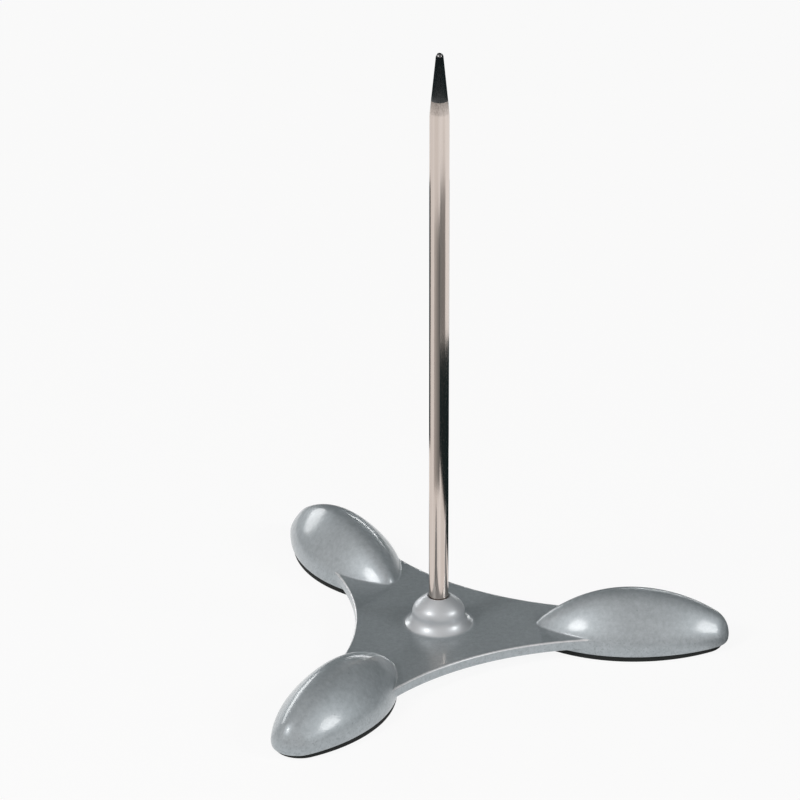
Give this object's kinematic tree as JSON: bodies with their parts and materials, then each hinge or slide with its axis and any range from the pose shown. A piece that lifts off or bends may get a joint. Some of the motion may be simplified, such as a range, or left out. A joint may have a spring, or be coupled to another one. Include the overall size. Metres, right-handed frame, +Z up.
{
  "type": "bill spike",
  "caption": "Desk bill spike for impaling paper memos: an upright nickel-plated rod with a black point on a cast tripod base with egg-shaped padded feet.",
  "frame": {"origin": "on the rod's axis, at table level, in the plane of the undersides of the pads", "axes": "+Z up along the rod to the point, +X from the rod towards the right-hand foot"},
  "size_m": [0.1152, 0.131, 0.16],
  "materials": {
    "cast_lacquer": "silver-grey metallic lacquer, semi-gloss, fine flake",
    "nickel_plate": "warm nickel plating, polished, with faint lengthwise drawing lines",
    "black_gloss": "glossy black",
    "zinc_plate": "bright zinc plating",
    "pad_rubber": "matt black cellular rubber"
  },
  "bodies": {
    "root": {"base_casting": "cast_lacquer", "spike_rod": "nickel_plate", "tip_cap": "black_gloss", "rod_washer": "zinc_plate", "rod_nut": "zinc_plate", "pad_right": "pad_rubber", "pad_rear": "pad_rubber", "pad_front": "pad_rubber"}
  },
  "joints": []
}
